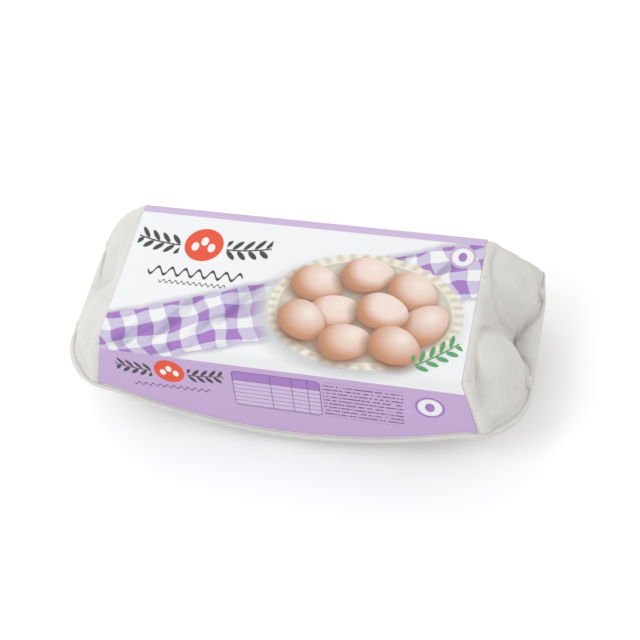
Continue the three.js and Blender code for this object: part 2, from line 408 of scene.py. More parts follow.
def grid_mesh(columns, rows, place):
    """A bmesh sheet whose vertex at a column and row goes to place(column, row)"""
    mesh = bmesh.new()
    bmesh.ops.create_grid(mesh, x_segments=columns, y_segments=rows, size=1.0)
    mesh.verts.ensure_lookup_table()
    for index, vert in enumerate(mesh.verts):
        row, column = divmod(index, columns + 1)
        vert.co = place(column, row)
    return mesh


def ring_mesh(sections):
    """A closed bmesh through sections that follow one another round the rim"""
    count = len(sections)
    mesh = grid_mesh(count, len(sections[0]) - 1, lambda column, row: sections[column % count][row])
    bmesh.ops.remove_doubles(mesh, verts=mesh.verts, dist=WELD_GAP)
    bmesh.ops.dissolve_degenerate(mesh, edges=mesh.edges, dist=TINY_EDGE)
    open_edges = [edge for edge in mesh.edges if edge.is_boundary]
    if open_edges:
        bmesh.ops.holes_fill(mesh, edges=open_edges, sides=0)
    bmesh.ops.recalc_face_normals(mesh, faces=mesh.faces)
    return mesh


def spoke(foot):
    """Line from the carton's spine out to a point of the rim: its start, its way and its length"""
    start = Vector((clamp_to(foot.x, SPINE_HALF), MIDDLE_Y))
    return start, (foot - start).normalized(), (foot - start).length


def flange_line(shape, foot, strip_y):
    """Spoke to a point of the rim, the height of the closing face there and its inner end"""
    start, way, rim = spoke(foot)
    level = shape.rim_z
    inner = rim - RIM_INNER
    if foot.y < SKIRT_INNER_Y:
        level -= shape.drop(foot.x)
        inner = min(inner, (strip_y - start.y) / way.y)
    return start, way, rim, level, inner


def section(start, way, rows):
    """Points on a spoke from their distances and heights"""
    return [Vector((*(start + way * reach), z)) for reach, z in rows]


def add_object(name, data):
    added = bpy.data.objects.new(name, data)
    bpy.context.scene.collection.objects.link(added)
    return added


def finish_piece(mesh, name, material, nodes=()):
    """Takes a bmesh in millimetres to the frame as a named piece with its material"""
    place = Matrix.Translation((0, Shape().centre_y * MM, 0)) @ Matrix.Scale(MM, 4)
    bmesh.ops.transform(mesh, matrix=place, verts=mesh.verts)
    data = bpy.data.meshes.new(name)
    mesh.to_mesh(data)
    mesh.free()
    for polygon in data.polygons:
        polygon.use_smooth = True
    data.materials.append(material)
    piece = add_object(name, data)
    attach(piece, "root")
    if nodes:
        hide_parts(*nodes)
    return piece


# Lid

EDGE_ROUND = 0.4
TOP_GAP = 0.02
ROW_GROWTH = 1.8

# Radius of the lid's top edge, and of the hollow where its wall meets the flange
TOP_ROUND = 2.2
END_TOP_ROUND = 3.6
FRONT_FILLET = 0.8
END_FILLET = 4.5
FILLET_SHARE = 0.92

# Lip of the flange: how far in its bend lies, and how far the bend drops at the ends
LIP_BEND = 3.0
LIP_BEND_SHARE = 0.35
LIP_BEND_DROP = 0.5

# Raised lip between the right end's lugs, and the step behind it
LIP_RISE = 2.8
LIP_RISE_FROM = -12.0
LIP_FRONT_EASING = 10.0
LIP_RISE_TO = 28.0
LIP_BACK_EASING = 12.0
LIP_STEP = 1.0
LIP_STEP_RISE = 0.8
LIP_FILLET_LOSS = 0.8

# The lid's outer face starts at this row of its section, and is pressed in towards the spine
# at a spot this much lower
OUTER_ROW = 8
PRESSED_DOWN = 4.0

# Unevenness of the pulp: size of the bumps, then how deep they are
BROAD_BUMPS = (17.0, 0.7)
FINE_BUMPS = (5.0, 0.22)
FINE_UNDER_LABEL = 0.05
BUMP_SHIFT = Vector((7, 3, 1))

# How far past the label's edge the bumps start, and over how far they grow
BUMPS_FROM = 1.0
BUMPS_OVER = 8.0

# Creases pressed into the ends: points on them with the depth there, then their half width
CREASES = (
    (((103.6, 44.0, 65.4, 0.2), (103.0, 38.0, 66.3, 1.3), (102.4, 32.2, 66.9, 1.6),
      (102.7, 25.9, 65.8, 1.6), (103.9, 19.6, 63.9, 1.6), (104.8, 14.6, 62.0, 1.7),
      (107.0, 10.4, 56.4, 1.9), (108.8, 9.0, 51.0, 2.0), (110.9, 8.0, 44.6, 2.0),
      (115.5, 8.0, 37.2, 1.6), (118.5, 8.0, 34.0, 0.8)), 1.6),
    (((101.4, -16.5, 67.2, 0.3), (101.3, -13.3, 67.0, 1.1), (103.0, -9.2, 64.2, 1.5),
      (105.8, -4.7, 58.4, 1.3), (109.4, -3.1, 53.0, 0.7)), 1.6),
    (((101.8, -21.0, 67.3, 0.4), (102.2, -27.0, 66.3, 1.1), (102.7, -30.9, 65.0, 1.7),
      (103.3, -35.5, 62.8, 2.2), (104.0, -39.8, 60.3, 2.3), (105.5, -43.9, 55.2, 1.9),
      (107.6, -46.5, 46.3, 0.9)), 1.5),
    (((103.5, -38.0, 61.4, 4.6), (103.8, -39.4, 60.5, 4.6)), 0.9),
    (((98.4, 20.4, 69.2, 1.2), (99.6, 21.0, 68.6, 2.0), (100.9, 21.7, 67.7, 1.4)), 0.6),
    (((118.2, 13.0, 35.8, 0.6), (119.4, 10.0, 34.0, 2.6), (120.4, 6.0, 34.0, 3.0),
      (121.3, 2.0, 34.2, 2.4), (123.2, -2.6, 34.4, 0.6)), 1.3),
    (((114.5, 47.9, 53.0, 0.4), (118.1, 47.7, 48.1, 1.0), (120.5, 46.5, 45.2, 1.7),
      (123.2, 43.4, 43.0, 1.9), (125.3, 40.3, 39.2, 1.4)), 1.5),
)
CREASED_FROM = 98.5
LEFT_CREASES = (
    (((-103.5, 32.0, 65.5, 0.2), (-105.0, 20.0, 61.0, 0.7), (-107.0, 11.6, 57.7, 0.8),
      (-111.0, 11.4, 50.0, 0.8)), 2.2),
    (((-119.6, 11.8, 35.6, 0.6), (-120.8, 12.0, 34.4, 3.0), (-122.2, 12.2, 32.6, 3.2),
      (-123.6, 12.8, 31.9, 1.0)), 1.5),
    (((-103.0, -28.0, 66.0, 0.2), (-104.6, -36.0, 61.5, 0.7), (-107.0, -43.0, 54.0, 0.5)), 2.2),
)


def endness(x):
    """Nothing along the label and one at either end"""
    return smooth((abs(x) - END_FROM) / END_OVER)


def lip_raised(foot):
    """How far towards its full rise the rim stands: only between the right end's lugs"""
    if foot.x < 0:
        return 0.0
    front = smooth((foot.y - LIP_RISE_FROM) / LIP_FRONT_EASING)
    back = smooth((LIP_RISE_TO - foot.y) / LIP_BACK_EASING)
    return endness(foot.x) * front * back


def lid_section(shape, foot):
    """From the middle of the lid's underside round its rim and up to the middle of its top"""
    start, way, rim, low, inner = flange_line(shape, foot, SKIRT_INNER_Y)
    top = low + shape.flange
    at_end = endness(foot.x)
    foot_depth = TOP_Z - top
    wall = shape.wall_reach(start, way, foot_depth)
    bend = min(LIP_BEND, (rim - wall) * LIP_BEND_SHARE)
    fillet = FRONT_FILLET + (END_FILLET - FRONT_FILLET) * at_end
    fillet = min(fillet, FILLET_SHARE * (rim - bend - wall))
    raised = lip_raised(foot)
    rise = LIP_RISE * raised
    fillet *= 1 - LIP_FILLET_LOSS * raised
    edge = rim - EDGE_ROUND
    edge_top = top - LIP_BEND_DROP * at_end + rise
    rows = [(inner * 0.3, shape.rim_z), (inner, shape.rim_z), (inner, low), (edge, low + rise)]
    rows += [(rim, low + rise + EDGE_ROUND), (rim, edge_top - EDGE_ROUND), (edge, edge_top)]
    step = wall + fillet + LIP_STEP
    middle = (rim - bend + wall + fillet) / 2
    middle += (step - middle) * raised
    rows += [(rim - bend, top + rise), (middle, top + LIP_STEP_RISE * rise)]
    round_top = TOP_ROUND + (END_TOP_ROUND - TOP_ROUND) * at_end
    for i in range(WALL_ROWS + 1):
        depth = foot_depth * (1 - i / WALL_ROWS) ** ROW_GROWTH + TOP_GAP
        reach = shape.wall_reach(start, way, depth)
        reach += quarter_round(fillet, foot_depth - depth) - quarter_round(round_top, depth)
        rows.append((reach, TOP_Z - depth - shape.lid_inset))
    reach, height = rows[-1]
    rows += [(reach * (1 - i / TOP_ROWS), height) for i in range(1, TOP_ROWS)]
    return section(start, way, rows)


def quarter_round(radius, away):
    """How far a round edge of a radius gives way at a distance from where it starts"""
    if away >= radius:
        return 0.0
    return radius - math.sqrt(max(radius ** 2 - (radius - away) ** 2, 0.0))


def bumps(point, size, shift=Vector()):
    return noise.noise(point / size + shift) * 0.5 + 0.5


def pulp_unevenness(shape, point):
    """How far the moulded pulp gives way inwards at a point, less under the label"""
    free = smooth((abs(point.x) - shape.label_half_length - BUMPS_FROM) / BUMPS_OVER)
    fine = bumps(point, FINE_BUMPS[0], BUMP_SHIFT)
    broad = bumps(point, BROAD_BUMPS[0])
    return (BROAD_BUMPS[1] * broad + FINE_BUMPS[1] * fine) * free + FINE_UNDER_LABEL * fine


def crease_depth(point):
    """How deep the creases of the ends are at a point"""
    deepest = 0.0
    for crease, half_width in CREASES if point.x > 0 else LEFT_CREASES:
        for start, end in zip(crease, crease[1:]):
            first, last = Vector(start[:3]), Vector(end[:3])
            along = last - first
            share = clamp((point - first).dot(along) / along.length_squared)
            away = (point - first - along * share).length
            depth = start[3] + (end[3] - start[3]) * share
            deepest = max(deepest, depth * math.exp(-(away / half_width) ** 2))
    return deepest


def pressed_in(shape, point):
    """A point of the lid's outer face, moved in by the unevenness and the creases"""
    target = Vector((clamp_to(point.x, SPINE_HALF), MIDDLE_Y, point.z - PRESSED_DOWN))
    depth = pulp_unevenness(shape, point)
    if abs(point.x) > CREASED_FROM:
        depth += crease_depth(point)
    return point + (target - point).normalized() * depth


def lid_mesh(shape):
    sections = []
    for foot in shape.rim_outline():
        points = lid_section(shape, foot)
        outer = [pressed_in(shape, point) for point in points[OUTER_ROW:]]
        sections.append(points[:OUTER_ROW] + outer)
    return ring_mesh(sections)


LUG_X = {-1: -124.6, 1: 126.2}
LUG_Y = (-19.7, 36.8)
LUG_LENGTH = 7.4
LUG_WIDTH = 5.0
LUG_TOP_DEPTH = 31.0
LUG_FOOT = 0.8
LUG_TAPER = 0.8
LUG_LEAN = 0.6
LUG_ROUND = 1.1


def lug_mesh(shape):
    """Small lugs standing on the flange at the feet of the round ends"""
    mesh = bmesh.new()
    low = shape.rim_z + LUG_FOOT
    high = TOP_Z - LUG_TOP_DEPTH
    size = Matrix.Diagonal((LUG_LENGTH, LUG_WIDTH, high - low, 1.0))
    for side, x in LUG_X.items():
        for y in LUG_Y:
            place = Matrix.Translation((x, y, (low + high) / 2))
            lug = bmesh.ops.create_cube(mesh, size=1.0, matrix=place @ size)
            for vert in lug["verts"]:
                if vert.co.z > (low + high) / 2:
                    vert.co.y = y + (vert.co.y - y) * LUG_TAPER
                    vert.co.x -= side * LUG_LEAN
    bmesh.ops.bevel(
        mesh, geom=mesh.edges, offset=LUG_ROUND, segments=4, affect="EDGES", profile=0.5, material=-1)
    bmesh.ops.recalc_face_normals(mesh, faces=mesh.faces)
    return mesh


# Tray

# Tub under the flange: its walls lean in by the taper, less where they reach down to the
# closing edge
TUB_TOP = 0.9
TUB_DEPTH = 8.0
TUB_INSET = 4.0
TUB_TAPER = 4.2
TUB_FRONT_Y = -48.4
TUB_WALL_INNER_Y = -40.3
TUB_EDGE_COVER = 1.0
TUB_STEEP_OVER = 4.0
TUB_STEEPENED = 0.8
TUB_BEVEL = 1.0
TUB_STEP = 4

CUP_SEGMENTS = 48
CUP_RINGS = 28

# The remesh that fuses the tub and the cups, and how it is softened
FUSE_SIZE = 0.0012
SOFTEN_SHARE = 0.5
SOFTEN_TIMES = 5


def tray_rim_section(shape, foot):
    """The tray's flange under the lid's, as a closed loop"""
    start, way, rim, level, inner = flange_line(shape, foot, TRAY_STRIP_INNER_Y)
    top = level - CLOSING_GAP
    low = top - shape.flange
    rise = LIP_RISE * lip_raised(foot)
    edge = rim - EDGE_ROUND
    rows = [(inner, top), (edge, top + rise), (rim, top + rise - EDGE_ROUND)]
    rows += [(rim, low + rise + EDGE_ROUND), (edge, low + rise), (inner, low), (inner, top)]
    return section(start, way, rows)


def tub_section(shape, foot):
    """The tub under the flange, with the tray's front wall behind the closing edge"""
    start, way, rim = spoke(foot)
    reach = rim - TUB_INSET
    top = shape.rim_z - TUB_TOP
    floor = shape.rim_z - TUB_DEPTH
    low, inner = floor, reach - TUB_TAPER
    if way.y < 0:
        reach = min(reach, (TUB_FRONT_Y - start.y) / way.y)
        inner = min(reach - TUB_TAPER, (TUB_WALL_INNER_Y - start.y) / way.y)
    if foot.y < SKIRT_INNER_Y:
        low = min(floor, shape.rim_z - shape.drop(foot.x) - TUB_EDGE_COVER)
    steep = smooth((floor - low) / TUB_STEEP_OVER)
    wall_foot = reach - TUB_TAPER * (1 - TUB_STEEPENED * steep)
    rows = [(0.0, top), (reach * 0.5, top), (reach, top), (wall_foot, low), (inner, low)]
    rows += [(inner - TUB_BEVEL, floor), (inner * 0.5, floor), (0.0, floor)]
    return section(start, way, rows)


def cup_point(shape, ball):
    """Where a point of a unit ball goes on a cup: its upper half is pressed flat at the rim"""
    top = shape.rim_z - TUB_TOP
    across = Vector((ball.x, ball.y))
    if ball.z > -1e-4:
        reach = shape.cup_radius * across.length
        height = top
    else:
        angle = math.acos(min(-ball.z, 1.0))
        reach = shape.foot_radius + (shape.cup_radius - shape.foot_radius) * math.sin(angle)
        height = top * (1 - math.cos(angle))
    if across.length > 1e-4:
        across = across.normalized() * reach
    return Vector((across.x, across.y, height))


def add_bmesh(mesh, other):
    data = bpy.data.meshes.new("joined")
    other.to_mesh(data)
    other.free()
    mesh.from_mesh(data)
    bpy.data.meshes.remove(data)


def tray_body_mesh(shape):
    """Ten cups on flat feet under a shallow tub, closed solids that the remesh fuses"""
    mesh = bmesh.new()
    for column in range(COLUMNS):
        x = (column - (COLUMNS - 1) / 2) * shape.cell_pitch
        for y in ROW_Y:
            ball = bmesh.ops.create_uvsphere(
                mesh, u_segments=CUP_SEGMENTS, v_segments=CUP_RINGS, radius=1.0)
            for vert in ball["verts"]:
                vert.co = cup_point(shape, vert.co) + Vector((x, y, 0))
    bmesh.ops.recalc_face_normals(mesh, faces=mesh.faces)
    feet = shape.rim_outline()[::TUB_STEP]
    add_bmesh(mesh, ring_mesh([tub_section(shape, foot) for foot in feet]))
    return mesh


# Label

FOLD_STEPS = 8
TOP_STEPS = 60
LABEL_COLUMNS = 150
FRONT_ROWS = 44
BACK_ROWS = 16


def label_bends(shape):
    """Points of the label's section from the front fold over the top to the back fold, with the
    place of each on the unrolled label"""
    radius = shape.fold_radius
    folds = []
    for side, slope in ((-1, math.atan(shape.front_tan)), (1, math.atan(shape.back_tan))):
        corner = shape.top_half_width - radius * math.tan((math.pi / 2 - slope) / 2)
        foot = shape.top_half_width + radius * (1 - math.sin(slope)) / math.cos(slope)
        fold = []
        for i in range(FOLD_STEPS + 1):
            turn = slope + (math.pi / 2 - slope) * i / FOLD_STEPS
            y = side * (corner + radius * math.cos(turn))
            z = TOP_Z - radius + radius * math.sin(turn)
            fold.append((y, z, side * (foot - (foot - corner) * i / FOLD_STEPS)))
        folds.append(fold)
    front, back = folds
    flat = []
    for i in range(1, TOP_STEPS):
        y = front[-1][0] + (back[-1][0] - front[-1][0]) * i / TOP_STEPS
        flat.append((y, TOP_Z, y))
    return front + flat + back[::-1]


def label_mesh(shape):
    bends = label_bends(shape)
    fold_depth = TOP_Z - bends[0][1]
    back_depth = TOP_Z - bends[-1][1]
    foot_x = shape.label_half_length + shape.label_flare

    def spot(column, row):
        """Where a vertex lies on the lid and on the unrolled label"""
        across = 2 * column / LABEL_COLUMNS - 1
        x = across * shape.label_half_length
        if row < FRONT_ROWS:
            share = 1 - row / FRONT_ROWS
            edge_x = across * foot_x
            edge_depth = shape.lid_depth - shape.label_margin + shape.drop(edge_x)
            depth = fold_depth + (edge_depth - fold_depth) * share
            x += (edge_x - x) * share
            y, z = shape.front_y(depth), TOP_Z - depth
            unrolled = -(shape.top_half_width + depth / shape.front_cos)
        elif row < FRONT_ROWS + len(bends):
            y, z, unrolled = bends[row - FRONT_ROWS]
        else:
            share = (row - FRONT_ROWS - len(bends) + 1) / BACK_ROWS
            depth = back_depth + (shape.label_back - back_depth) * share
            y, z = shape.back_y(depth), TOP_Z - depth
            unrolled = shape.top_half_width + depth / shape.back_cos
        return Vector((x, y, z)), (x, unrolled)

    rows = FRONT_ROWS + len(bends) + BACK_ROWS - 1
    mesh = grid_mesh(LABEL_COLUMNS, rows, lambda column, row: spot(column, row)[0])
    flat = {}
    for index, vert in enumerate(mesh.verts):
        row, column = divmod(index, LABEL_COLUMNS + 1)
        flat[vert] = spot(column, row)[1]
    layer = mesh.loops.layers.uv.new("print")
    for face in mesh.faces:
        for loop in face.loops:
            loop[layer].uv = flat[loop.vert]
    for edge in mesh.edges:
        edge.smooth = not edge.is_boundary
    bmesh.ops.recalc_face_normals(mesh, faces=mesh.faces)
    if sum(face.normal.z for face in mesh.faces) < 0:
        bmesh.ops.reverse_faces(mesh, faces=mesh.faces)
    return mesh


# Materials

def new_material(name):
    material = bpy.data.materials.new(name)
    material.use_nodes = True
    tree = material.node_tree
    return material, tree, tree.nodes["Principled BSDF"]


def add_node(tree, kind, inputs, **settings):
    """Adds a shader node, each of whose inputs is a value or the socket that it comes from"""
    node = tree.nodes.new("ShaderNode" + kind)
    for name, value in settings.items():
        setattr(node, name, value)
    for key, value in inputs.items():
        socket = node.inputs[key]
        if isinstance(value, bpy.types.NodeSocket):
            tree.links.new(value, socket)
        elif socket.type == "RGBA":
            socket.default_value = (*value, 1.0)
        else:
            socket.default_value = value
    return node


def add_noise(tree, source, scale, detail, roughness=0.55, out="Fac"):
    inputs = {"Vector": source, "Scale": scale, "Detail": detail, "Roughness": roughness}
    return add_node(tree, "TexNoise", inputs).outputs[out]


def add_ramp(tree, source, stops):
    ramp = add_node(tree, "ValToRGB", {"Fac": source})
    elements = ramp.color_ramp.elements
    while len(elements) < len(stops):
        elements.new(0.5)
    for element, (position, colour) in zip(elements, stops):
        element.position = position
        element.color = (*colour, 1.0)
    return ramp.outputs["Color"]


def add_bump(tree, height, strength, distance, **more):
    inputs = {"Height": height, "Strength": strength, "Distance": distance, **more}
    return add_node(tree, "Bump", inputs).outputs["Normal"]


def add_mix(tree, factor, a, b, blend="MIX"):
    inputs = {"Factor": factor, "A": a, "B": b}
    mix = add_node(tree, "Mix", inputs, data_type="RGBA", blend_type=blend)
    return mix.outputs["Result"]


def shade(colour, share):
    return tuple(min(channel * share, 1.0) for channel in colour)


WHITE = (1.0, 1.0, 1.0)

# Scale and detail of the patterns in the pulp and the paper, and the roughness of the finest
MOTTLE = (70, 4)
FIBRES = (900, 5, 0.7)
SPECKS = (420, 2)
FELT = (1100, 6, 0.7)
DIMPLES = (190, 3)
PAPER_GRAIN = (700, 3)

FIBRE_TONE = (0.80, 0.79, 0.76)
FIBRE_SHARE = 0.38
SPECK_TONE = (0.52, 0.45, 0.36)
SPECK_SHARE = 0.26


def set_surface(shader, roughness, specular):
    shader.inputs["Roughness"].default_value = roughness
    shader.inputs["Specular IOR Level"].default_value = specular


def pulp_material(name, colour):
    """Pale moulded pulp: mottled, with short fibres, fine specks and a felt-like surface"""
    material, tree, shader = new_material(name)
    place = tree.nodes.new("ShaderNodeTexCoord").outputs["Object"]

    def pattern(kind, *stops):
        return add_ramp(tree, add_noise(tree, place, *kind), stops)

    tone = pattern(MOTTLE, (0.35, shade(colour, 0.965)), (0.65, shade(colour, 1.03)))
    fibres = pattern(FIBRES, (0.36, FIBRE_TONE), (0.5, WHITE))
    specks = pattern(SPECKS, (0.24, SPECK_TONE), (0.30, WHITE))
    tone = add_mix(tree, FIBRE_SHARE, tone, fibres, "MULTIPLY")
    tone = add_mix(tree, SPECK_SHARE, tone, specks, "MULTIPLY")
    tree.links.new(tone, shader.inputs["Base Color"])
    set_surface(shader, roughness=0.93, specular=0.25)
    felt = add_noise(tree, place, *FELT)
    felt = add_bump(tree, felt, strength=0.35, distance=0.0004)
    dimples = add_noise(tree, place, *DIMPLES)
    dimples = add_bump(tree, dimples, strength=0.3, distance=0.0012, Normal=felt)
    tree.links.new(dimples, shader.inputs["Normal"])
    return material


class Print:
    """Flat shapes painted one over another on the unrolled label, in millimetres"""

    def __init__(self, tree, colour):
        self.tree = tree
        self.place = add_node(tree, "UVMap", {}, uv_map="print").outputs["UV"]
        self.x, self.y = self.split(self.place)
        self.colour = colour

    def node(self, kind, *values, **settings):
        return add_node(self.tree, kind, dict(enumerate(values)), **settings)

    def math(self, operation, *values, clamp=False):
        return self.node("Math", *values, operation=operation, use_clamp=clamp).outputs[0]

    def vector(self, operation, *values, out="Vector"):
        return self.node("VectorMath", *values, operation=operation).outputs[out]

    def split(self, vector):
        node = self.node("SeparateXYZ", vector)
        return node.outputs["X"], node.outputs["Y"]

    def joined(self, x, y):
        return self.node("CombineXYZ", x, y).outputs[0]

    def local(self, x, y, turn=0.0, scale=(1.0, 1.0), source=None):
        """Coordinates about a centre, turned by some degrees and scaled"""
        inputs = {
            "Vector": source or self.place, "Location": (x, y, 0),
            "Rotation": (0, 0, math.radians(turn)), "Scale": (*scale, 1),
        }
        return add_node(self.tree, "Mapping", inputs, vector_type="TEXTURE").outputs[0]

    def fill(self, distance, colour, soft=0.12):
        """Paints the inside of a shape, with a soft edge"""
        inside = self.math("MULTIPLY_ADD", distance, -0.5 / soft, 0.5, clamp=True)
        self.colour = add_mix(self.tree, inside, self.colour, colour)

    def ellipse(self, x, y, rx, ry, turn=0.0):
        length = self.vector("LENGTH", self.local(x, y, turn, (rx, ry)), out="Value")
        return self.math("MULTIPLY_ADD", length, min(rx, ry), -min(rx, ry))

    def panel(self, x, y, half_x, half_y, radius):
        """Distance to a rectangle with round corners"""
        aside = self.vector("ABSOLUTE", self.local(x, y))
        over = self.vector("SUBTRACT", aside, (half_x - radius, half_y - radius, 0))
        length = self.vector("LENGTH", self.vector("MAXIMUM", over, (0, 0, 0)), out="Value")
        return self.math("SUBTRACT", length, radius)

    def outline(self, distance, half_width):
        return self.math("SUBTRACT", self.math("ABSOLUTE", distance), half_width)

    def both(self, a, b):
        return self.math("MAXIMUM", a, b)

    def noise(self, scale, detail, source=None, out="Fac"):
        return add_noise(self.tree, source or self.place, scale, detail, 0.5, out)

    def ramp(self, source, stops):
        return add_ramp(self.tree, source, stops)

    def wavering(self, distance, scale, reach):
        """The same edge, uneven by a given reach"""
        shift = self.math("MULTIPLY_ADD", self.noise(scale, 2), reach, -reach / 2)
        return self.math("ADD", distance, shift)


# Places on the unrolled label: the middle of the top is the origin and the front fold is at -45
BACK_BAND_Y = 39.7
FRONT_BAND_Y = -54.6

# x, y, half width and turn of the cloth, how far it is draped and how its folds run across it
RUNNER = (0.0, -12.0, 18.5, 21.0)
CHECK_SIZE = 7.6
DRAPE = 13.0
FOLD_TURN = -62
FOLD_STRETCH = (1.0, 3.4)

# x, y and both half axes of the dish, then its rings: inset, shade and softness
DISH = (40.0, -10.0, 52.0, 36.0)
FLUTES = 44
DISH_RINGS = ((4.6, 1.02, 0.3), (5.8, 0.66, 0.5), (7.4, 0.84, 1.6), (14.0, 0.62, 8.0))

# x, y, turn and warmth of each egg, then the half axes of an egg, its shadow and its light
EGGS = (
    (12, 4, -18, 0.35), (38, 13, 6, 0.15), (64, 5, -34, 0.3),
    (73, -14, 48, 0.45), (24, -13, 20, 0.2), (50, -9, -12, 0.1),
    (9, -20, -38, 0.5), (34, -30, 8, 0.4), (60, -29, -22, 0.55),
)
EGG_SIZE = (14.2, 11.0)
EGG_SHADOW = (14.8, 11.6)
EGG_LIGHT = (18.0, 16.5)
EGG_POINT = 0.14

# x, y, radius and length of the branches; the eggs on an emblem are placed by its radius
EMBLEMS = ((-56, 21, 11.0, 25), (-61, -66, 8.6, 20))
EMBLEM_BOW = 0.006
EMBLEM_EGGS = ((-0.42, -0.14), (0.42, -0.14), (0.0, 0.22))
EMBLEM_EGG = (0.19, 0.26)

# x, y, half length, reach, pitch and half width
WAVES = (
    (-56, 1.5, 27, 2.4, 7.7, 0.95), (-56, -5.2, 19, 0.9, 3.4, 0.42),
    (-61, -78.5, 22, 1.0, 4.0, 0.4),
)
WAVE_TURN = 1.0

# x, y and radius
BACK_BADGE = (86, 31, 7.2)
FRONT_BADGE = (80.8, -68.0, 8.0)

# x, y and both half sizes, with the table's heading, row pitch and columns
TABLE = (-1.5, -72.5, 24.0, 13.5)
TABLE_CORNER = 2.4
TABLE_HEADING = 7.0
TABLE_HALF_PITCH = 1.6
TABLE_COLUMNS = (-0.12, 0.36, 0.72)
RULE = 0.16
FINE_LINES = (45.5, -72.5, 21.5, 13.5)
LINE_PITCH = 2.75
LINE_WIDTH = 0.85

# x, y, length, turn and leaf size
SPRIG = (72, -39, 26, 32, 6.4)
SPRIG_BOW = 0.004


def band_print(art, inks):
    """Lilac bands along the back fold and over most of the front; the front band is a darker lilac,
    painted shade of the front face
    """
    art.fill(art.math("SUBTRACT", BACK_BAND_Y, art.y), inks.lilac, 0.2)
    art.fill(art.math("SUBTRACT", art.y, FRONT_BAND_Y), inks.front_lilac, 0.2)


def gingham(art, inks, source):
    """Colour of a checked cloth, in the cloth's own coordinates"""
    threads = []
    for along in art.split(source):
        phase = art.math("PINGPONG", along, CHECK_SIZE)
        threads.append(art.math("MULTIPLY_ADD", phase, 2.2, 0.5 - 1.1 * CHECK_SIZE, clamp=True))
    count = art.math("MULTIPLY", art.math("ADD", *threads), 0.5)
    return art.ramp(count, [(0.02, inks.paper), (0.5, inks.check), (0.98, inks.violet)])


def runner_print(art, inks):
    """Gingham table runner laid across the field, from the lower left to the upper right"""
    x, y, half_width, turn = RUNNER
    shift = art.vector("SCALE", art.noise(0.05, 1, out="Color"))
    shift.node.inputs["Scale"].default_value = DRAPE
    draped = art.vector("ADD", art.place, shift)
    checks = gingham(art, inks, art.local(x, y, turn, source=draped))
    folds = art.noise(0.075, 2, art.local(x, y, turn + FOLD_TURN, FOLD_STRETCH))
    shadow = art.ramp(folds, [(0.36, (0.58, 0.54, 0.66)), (0.48, WHITE), (0.62, WHITE)])
    checks = add_mix(art.tree, 0.8, checks, shadow, "MULTIPLY")
    straight = art.split(art.local(x, y, turn))[1]
    edge = art.wavering(art.outline(straight, half_width), 0.06, 5)
    art.fill(edge, shade(inks.check, 0.72), 2.2)
    art.fill(art.math("ADD", edge, 1.2), checks, 0.25)


def dish_print(art, inks):
    """Round dish with a fluted rim"""
    x, y, rx, ry = DISH
    shadow = art.ellipse(x - 3, y - 4, rx + 2, ry + 1)
    art.fill(shadow, shade(inks.paper, 0.72), 4.0)
    u, v = art.split(art.local(x, y, 0.0, (rx, ry)))
    wave = art.math("SINE", art.math("MULTIPLY", art.math("ARCTAN2", v, u), FLUTES))
    rim = art.math("MULTIPLY_ADD", wave, 0.5, art.ellipse(x, y, rx, ry))
    lit = art.math("MULTIPLY_ADD", wave, 0.5, 0.5)
    fluted = art.ramp(lit, [(0.1, shade(inks.cream, 0.78)), (0.8, inks.cream)])
    art.fill(rim, fluted, 0.4)
    for inset, share, soft in DISH_RINGS:
        ring = art.ellipse(x, y, rx - inset, ry - inset * 0.8)
        art.fill(ring, shade(inks.cream, share), soft)


def egg_print(art, inks, x, y, turn, warmth):
    """One shaded egg with the soft shadow under it"""
    light, dark = inks.egg_light, inks.egg_dark
    shadow = art.ellipse(x - 1.2, y - 2.6, *EGG_SHADOW, turn)
    art.fill(shadow, shade(dark, 0.42), 3.0)
    u, v = art.split(art.local(x, y, turn, EGG_SIZE))
    wide = art.math("MULTIPLY", v, art.math("MULTIPLY_ADD", u, EGG_POINT, 1.0))
    body = art.vector("LENGTH", art.joined(u, wide), out="Value")
    lit = art.vector("LENGTH", art.local(x + 3.0, y + 5.0, turn, EGG_LIGHT), out="Value")
    pale = tuple(a + (b - a) * warmth for a, b in zip(light, dark))
    colour = art.ramp(lit, [(0.10, light), (0.50, pale), (0.82, dark), (1.0, shade(dark, 0.80))])
    art.fill(art.math("MULTIPLY_ADD", body, 11.0, -11.0), colour, 0.25)


def branch_print(art, x, y, length, turn, leaf, colour, bow):
    """Leafy branch: a stem with leaves on both sides by turns"""
    u, v = art.split(art.local(x, y, turn))
    v = art.math("SUBTRACT", v, art.math("MULTIPLY", art.math("POWER", u, 2.0), bow))
    within = art.outline(art.math("SUBTRACT", u, length / 2), length / 2)
    art.fill(art.both(art.outline(v, leaf * 0.07), within), colour)
    below = art.math("LESS_THAN", v, 0.0)
    half_pitch = leaf * 0.45
    cell = art.math("MULTIPLY_ADD", below, half_pitch, u)
    cell = art.math("WRAP", cell, half_pitch, -half_pitch)
    spot = art.joined(cell, art.math("SUBTRACT", art.math("ABSOLUTE", v), leaf * 0.5))
    body = art.vector("LENGTH", art.local(0, 0, 48, (leaf * 0.56, leaf * 0.2), spot), out="Value")
    distance = art.math("MULTIPLY_ADD", body, leaf * 0.2, -leaf * 0.2)
    art.fill(art.both(distance, within), colour)


def emblem_print(art, inks, x, y, radius, reach):
    """Plain coral disc with three pale eggs, between two leafy branches"""
    for side, turn in ((1, 0), (-1, 180)):
        branch_print(
            art, x + side * radius * 1.2, y - radius * 0.15, reach, turn, radius * 0.62,
            inks.slate, side * EMBLEM_BOW)
    art.fill(art.ellipse(x, y, radius, radius), inks.coral)
    for dx, dy in EMBLEM_EGGS:
        half_axes = (radius * share for share in EMBLEM_EGG)
        egg = art.ellipse(x + dx * radius, y + dy * radius, *half_axes)
        art.fill(egg, inks.paper)


